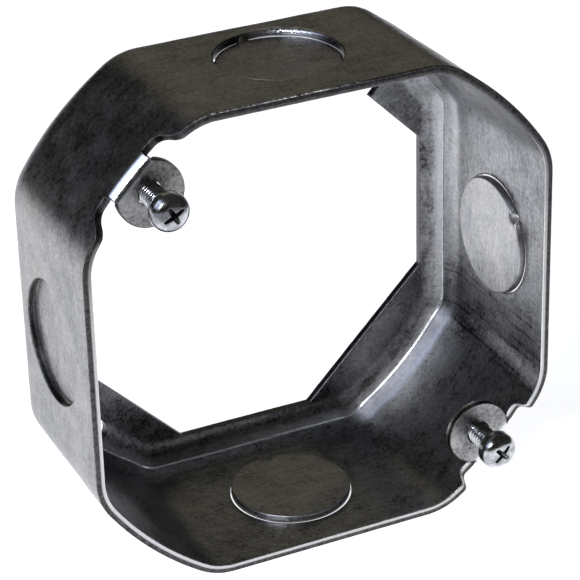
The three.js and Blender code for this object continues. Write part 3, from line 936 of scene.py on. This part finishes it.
def painted_shade_light_and_marks(m, side):
    """How much darker the sheet's inner face is, by its place: x across, y back and z up, in mm. It is
    painted shade lower down and on the lower flange, less painted light on the upper walls towards the back,
    plus a painted shadow beside the upper left ear's screw and some draw marks.
    """
    height = m.node("ShaderNodeSeparateXYZ", "Z", Vector=m.mm)
    depth, across = height.node.outputs["Y"], height.node.outputs["X"]
    flange = m.range(depth, *FLANGE_DEPTHS, 0.0, 1.0, True)
    spared = m.times(m.range(across, 14.0, 24.0), m.range(height, 40.0, 30.0), flange)
    # painted shade: the flange and the low inner faces are darker lower down, less so to the right, with a
    # stretch of the lower right flange spared
    darker = m.times(flange, 0.16, m.range(height, 68.0, 57.0))
    across_share = m.range(across, 18.0, 28.0, 0.1, 0.045)
    low_down = m.times(m.range(height, 36.0, 20.0, 0.0, 1.0, True), across_share)
    darker = m.times(m.math("MAXIMUM", darker, low_down), m.math("SUBTRACT", 1.0, spared))

    # a darker band of painted shade, and draw marks, low on the right wall
    band = m.times(m.range(height, 14.0, 20.0), m.range(height, 37.0, 28.0))
    band = m.times(band, m.range(across, 38.5, 42.0), 0.075)
    marks = m.noise(m.vector("MULTIPLY", m.mm, (0.05, 0.05, 1.5)), 1.0, 2.0, 0.5)
    marks = m.times(m.range(marks, 0.48, 0.38, 0.0, 0.13), m.range(across, 38.0, 42.0))
    marks = m.times(marks, m.range(height, 16.0, 21.0), m.range(height, 36.0, 31.0))

    # painted light: the upper walls are painted lighter towards the back and beside the bend
    gradual = m.range(depth, AXIS[1] + 8.0, AXIS[1] + 32.0, -0.04, 0.06)
    by_bend = m.range(depth, AXIS[1] + 25.0, AXIS[1] + 31.0, 0.0, 0.09, True)
    lighter = m.times(m.plus(gradual, by_bend), m.range(height, 36.0, 50.0))
    lighter = m.times(lighter, m.math("SUBTRACT", 1.0, flange))
    darker = m.math("SUBTRACT", m.plus(darker, band, marks), lighter)
    screw_shadow = m.range(m.distance(SCREW_SHADOW_PLACE), 1.2, 4.6, 0.17, 0.0, True)
    return m.plus(m.times(darker, m.range(side, 0.6, 1.0)), screw_shadow)


def cut_edge(m, at, side, grain):
    """The tone of a cut edge, with its bright band, partly sheared metal and partly painted highlight, and
    its torn lip with painted glints: mask and noise.
    """
    shear_highlight = m.attribute("shear_highlight")
    shear_highlight_band = m.times(m.range(side, 0.50, 0.545, 0.0, 0.5), shear_highlight)
    broken = m.times(m.range(side, 0.60, 0.66), m.range(shear_highlight, 0.08, 0.4, 0.05, 0.25))
    tone = m.plus(m.range(grain, *NOISE, 0.02, 0.12), shear_highlight_band, broken)
    torn = m.noise(at, 1.1, 4.0, 0.7)
    lip = m.times(m.range(side, 0.03, 0.12), m.range(side, 0.42, 0.36))
    # painted glints: the torn lip is painted bright on the torn stretch of the rim
    lip = m.times(lip, m.range(m.distance(BURR_GLINT_PLACE), 9.0, 17.0, 1.0, 0.15))
    tone = m.math("MAXIMUM", tone, m.times(lip, m.range(torn, 0.42, 0.55, 0.1, 0.95)))
    return tone, lip, torn


def galvanised(name, tone, seed=0.0):
    m = Nodes(name)
    at = m.vector("ADD", m.mm, (seed, seed * 2, -seed))
    drift = m.vector("SCALE", m.tints(at, 0.5), scale=2.2)
    crystals = m.node("ShaderNodeTexVoronoi", "Color", Vector=m.vector("ADD", at, drift), Scale=0.4)
    crystals = m.node("ShaderNodeSeparateColor", "Red", Color=crystals)
    grain = m.noise(at, 1.5, 5.0, 0.68)
    specks = m.noise(at, 1.3, 2.0, 0.5)
    blotches = m.noise(at, 0.22, 4.0, 0.6, 0.3)
    patches = m.noise(at, 0.07, 3.0, 0.55, 0.6)
    bent = m.vector("ADD", at, m.vector("SCALE", m.tints(at, 0.05), scale=4.0))
    streaks = m.noise(m.vector("MULTIPLY", bent, (0.14, 2.6, 0.14)), 1.0, 3.0, 0.6)
    side, burnish_highlight = m.attribute("side"), m.attribute("burnish_highlight")

    value = m.plus(
        m.range(crystals, 0, 1, -0.03, 0.03),
        m.range(grain, *NOISE, -0.12, 0.15),
        m.range(blotches, *NOISE, -0.06, 0.06),
        m.range(patches, *NOISE, -0.045, 0.045),
        m.range(streaks, *NOISE, -0.06, 0.06),
        m.range(specks, 0.68, 0.76, 0.0, 0.16),
        m.range(side, 0.5, 1.0, tone - 0.055, tone + 0.005),
    )
    # painted shade and painted light by place, and draw marks
    value = m.math("MAXIMUM", m.math("SUBTRACT", value, painted_shade_light_and_marks(m, side)), 0.03)
    edge, lip, torn = cut_edge(m, at, side, grain)
    cut = m.times(m.range(side, 0.02, 0.14), m.range(side, 0.98, 0.86))
    value = m.blend(cut, value, edge)
    # burnished places are painted bright: partly real burnish, partly painted highlight and painted sheen
    value = m.blend(burnish_highlight, value, m.plus(m.range(grain, *NOISE, -0.08, 0.08), 0.78))

    colour = m.mix(m.range(patches, 0.35, 0.65), (0.98, 0.985, 1.02), (1.02, 1.0, 0.965))
    # the inner face and the burnished places are tinted lavender, a painted reflection of the lavender lamp
    bluer = m.math("MAXIMUM", m.times(m.range(side, 0.6, 1.0), 0.5), burnish_highlight)
    colour = m.mix(bluer, colour, (0.96, 0.985, 1.06))
    rough = m.plus(m.range(blotches, *NOISE, 0.26, 0.36), m.range(grain, *NOISE, -0.06, 0.06))
    half_burnish_highlight = m.times(burnish_highlight, m.math("SUBTRACT", 1.0, burnish_highlight))
    rough = m.math("SUBTRACT", rough, m.times(burnish_highlight, 0.14))
    rough = m.plus(rough, m.times(half_burnish_highlight, 0.55))
    height = m.plus(
        m.times(grain, 0.55),
        m.times(m.noise(at, 5.0, 3.0, 0.6), 0.2),
        m.times(streaks, 0.3),
        m.times(m.noise(at, 0.35, 2.0), 0.6),
    )
    surface = m.bump(height, 0.00011, m.range(burnish_highlight, 0, 1, 0.8, 0.15))
    surface = m.bump(m.times(lip, torn), 0.0012, 1.0, surface)
    m.set(Base_Color=m.tinted(value, colour), Roughness=rough, Metallic=1.0, Normal=surface)
    return m.material


def zinc(name):
    m = Nodes(name)
    fine = m.noise(m.mm, 2.5, 4.0, 0.6)
    dulled = m.noise(m.mm, 0.42, 2.0, 0.5)
    value = m.plus(m.range(fine, *NOISE, 0.42, 0.6), m.range(dulled, 0.38, 0.62, -0.2, 0.14))
    rough = m.range(m.noise(m.mm, 1.1, 3.0), *NOISE, 0.12, 0.26)
    surface = m.bump(m.noise(m.mm, 4.0, 3.0, 0.6), 0.00003, 0.5)
    m.set(Base_Color=m.tinted(value, (0.97, 0.99, 1.02, 1.0)), Roughness=rough, Metallic=1.0, Normal=surface)
    return m.material


def recess_painted_shade(name):
    """The rough bottom of a screw's recess, painted dark as shade."""
    m = Nodes(name)
    dark = m.grey(m.range(m.noise(m.mm, 3.0, 3.0), *NOISE, 0.05, 0.12))
    rough = m.range(m.noise(m.mm, 2.0, 2.0), *NOISE, 0.35, 0.55)
    m.set(Base_Color=dark, Roughness=rough, Metallic=1.0)
    return m.material


def floor_paper(name):
    """White paper that glows like the photograph's ground and fades out away from the object."""
    m = Nodes(name)
    white = m.grey(m.range(m.noise(m.mm, 0.02, 3.0), *NOISE, 0.86, 0.9))
    glow = m.range(m.distance((0.0, 290.0, 0.0)), 375.0, 480.0, 0.94, 0.0, True)
    m.set(Base_Color=white, Roughness=0.9, Emission_Color=(0.955, 0.965, 0.985, 1.0), Emission_Strength=glow)
    return m.material


# ---------------------------------------------------------------- assembly
SLUG_TIES = {"top": 10, "left": 155, "bottom": 0, "right": 140}  # degrees round from the back
# the right slug is painted lighter than the others, as painted light
SLUG_LIT_TONES = {"top": 0.35, "left": 0.36, "bottom": 0.36, "right": 0.53}

ring = build_shell()
ring.data.materials.append(galvanised("galvanised_wall", 0.32))
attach(ring, "ring")
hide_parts("ring_shell")

for i, wall in enumerate(WALL_CENTRES):
    slug = build_slug(wall, SLUG_TIES[wall], 11.0 + i)
    slug.data.materials.append(galvanised(f"galvanised_slug_{wall}", SLUG_LIT_TONES[wall], seed=31.0 * (i + 1)))
    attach(slug, f"slug_{wall}")
    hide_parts(f"knockout_{wall}")

zinc_plate, zinc_recess_shade = zinc("zinc_plate"), recess_painted_shade("zinc_recess_shade")
for corner in EARS:
    screw = build_screw(corner, zinc_plate, zinc_recess_shade)
    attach(screw, f"fastener_{corner}")
    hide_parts(f"screw_{corner}")

# ---------------------------------------------------------------- floor, light and camera
bm = bmesh.new()
bmesh.ops.create_grid(bm, x_segments=8, y_segments=8, size=4.0)
mesh = bpy.data.meshes.new("floor")
bm.to_mesh(mesh)
bm.free()
floor = add_object("floor", mesh)
floor.data.materials.append(floor_paper("floor_paper"))

CENTRE = Vector((0, 0, 0.045))  # what the lights point at


def area_light(name, direction, distance, size, watts, colour=(1, 1, 1), size_y=None):
    data = bpy.data.lights.new(name, "AREA")
    data.shape = "RECTANGLE"
    data.size, data.size_y = size, size_y or size
    data.energy, data.color = watts, colour
    o = add_object(name, data)
    d = Vector(direction).normalized()
    o.location = CENTRE + d * distance
    o.rotation_mode = "QUATERNION"
    o.rotation_quaternion = d.to_track_quat("Z", "Y")


area_light("key", (-0.63, -0.53, 0.56), 1.2, 0.26, 4.6)
area_light("soft_left", (-0.77, -0.06, 0.63), 1.1, 1.15, 4.4, (0.70, 0.77, 1.0), 0.7)
area_light("back_right", (0.33, 0.80, 0.52), 1.6, 1.25, 0.78, (1.0, 0.92, 0.72))

# a dim world lights the metal, and the camera sees a pale one behind the floor
world = bpy.data.worlds.new("studio")
world.use_nodes = True
tree = world.node_tree
dim, pale = tree.nodes["Background"], tree.nodes.new("ShaderNodeBackground")
dim.inputs["Color"].default_value, dim.inputs["Strength"].default_value = (1.0, 0.95, 0.82, 1.0), 0.03
pale.inputs["Color"].default_value, pale.inputs["Strength"].default_value = (0.80, 0.81, 0.82, 1.0), 1.0
seen = tree.nodes.new("ShaderNodeLightPath").outputs["Is Camera Ray"]
studio = tree.nodes.new("ShaderNodeMixShader")
for socket, source in zip(studio.inputs, (seen, dim.outputs[0], pale.outputs[0])):
    tree.links.new(source, socket)
tree.links.new(studio.outputs[0], tree.nodes["World Output"].inputs["Surface"])
bpy.context.scene.world = world

# the camera as fitted to the photograph: its place is in mm from the ring's axis
CAMERA_PLACE = np.array([-171.7117, -349.9874, 211.6850])
CAMERA_RIGHT = Vector((0.89950752, -0.43626135, -0.02371211))
CAMERA_DOWN = Vector((-0.22154132, -0.40866245, -0.88538943))
CAMERA_FORWARD = Vector((0.37657094, 0.80166766, -0.46424485))
CAMERA_LENS = 158.309069

camera_data = bpy.data.cameras.new("camera")
camera_data.sensor_width = 36.0
camera_data.lens = CAMERA_LENS
camera_data.clip_start, camera_data.clip_end = 0.01, 50
camera = add_object("camera", camera_data)
facing = Matrix((CAMERA_RIGHT, -CAMERA_DOWN, -CAMERA_FORWARD)).transposed().to_4x4()
camera.matrix_world = Matrix.Translation(Vector((CAMERA_PLACE + AXIS) * 0.001)) @ facing
bpy.context.scene.camera = camera
bpy.context.scene.view_settings.view_transform = "Standard"
